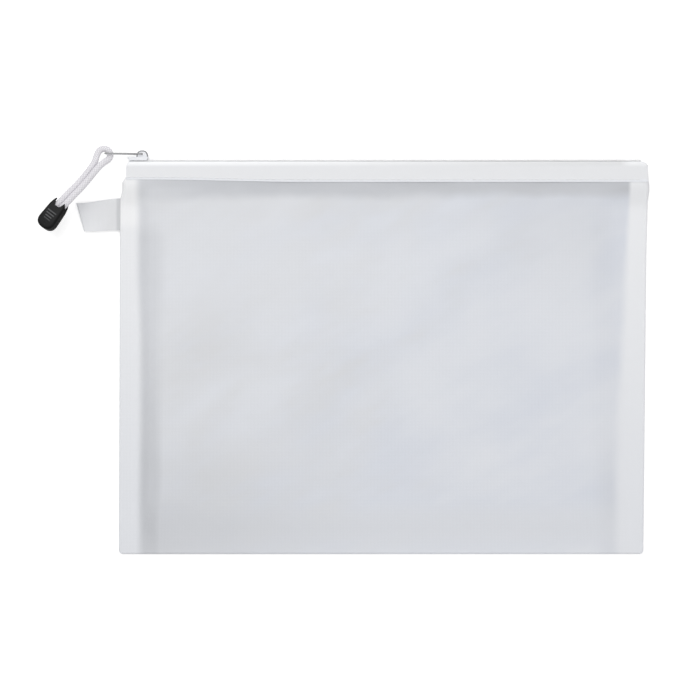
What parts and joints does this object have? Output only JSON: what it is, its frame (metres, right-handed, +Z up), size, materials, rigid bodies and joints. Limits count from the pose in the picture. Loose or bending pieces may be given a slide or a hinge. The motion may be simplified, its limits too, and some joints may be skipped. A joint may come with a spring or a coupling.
{
  "type": "document wallet",
  "caption": "Flat zip wallet of translucent mesh for A4 papers, with bound side seams, a ribbon side tab and a zip along the top whose slider has a wire loop, a doubled cord and a black cap.",
  "frame": {"origin": "middle of the back face, on the surface that the wallet lies on", "axes": "+X along the zip, from the closed slider towards the far end; +Y from the bottom fold to the zip; +Z up out of the front"},
  "size_m": [0.3872, 0.2604, 0.0188],
  "materials": {
    "mesh_sheet": "fine translucent mesh",
    "seam_binding": "matt woven tape",
    "tab_ribbon": "ribbed ribbon",
    "zip_tape": "woven zip tape",
    "zip_teeth": "satin",
    "thread": "twisted thread",
    "slider_metal": "satin lacquer",
    "wire_metal": "satin lacquer",
    "pull_cord": "braided cord",
    "cap_plastic": "moulded black"
  },
  "bodies": {
    "pouch": {"front_panel": "mesh_sheet", "back_panel": "mesh_sheet", "bottom_fold": "mesh_sheet", "left_seam_binding": "seam_binding", "right_seam_binding": "seam_binding", "side_tab": "tab_ribbon", "back_zip_tape": "zip_tape", "back_zip_teeth": "zip_teeth", "back_zip_stitching": "thread"},
    "lip": {"front_zip_tape": "zip_tape", "front_zip_teeth": "zip_teeth", "front_zip_stitching": "thread"},
    "slider": {"slider_body": "slider_metal"},
    "bail": {"pull_wire": "wire_metal"},
    "pull": {"pull_cord": "pull_cord", "cord_knot": "pull_cord", "cap_front_shell": "cap_plastic", "cap_rear_shell": "cap_plastic"}
  },
  "joints": [
    {"name": "slider_travel", "type": "slide", "parent": "pouch", "child": "slider", "axis": [1, 0, 0], "range_m": [0, 0.3], "deforming": ["back_zip_teeth"]},
    {"name": "mouth_open", "type": "slide", "parent": "pouch", "child": "lip", "axis": [0, 0, 1], "range_m": [0, 0.03], "deforming": ["front_zip_tape", "front_zip_teeth", "front_zip_stitching"]},
    {"name": "bail_swing", "type": "hinge", "parent": "slider", "child": "bail", "pos_m": [-0.1536, 0.1301, 0.0038], "axis": [0, 0, -1], "range_deg": [0, 180]},
    {"name": "pull_swing", "type": "hinge", "parent": "bail", "child": "pull", "pos_m": [-0.177, 0.1301, 0.0086], "axis": [0, 0, 1], "range_deg": [-120, 25]}
  ],
  "couplings": [
    {"joint": "mouth_open", "follows": "slider_travel", "ratio": 0.1}
  ]
}
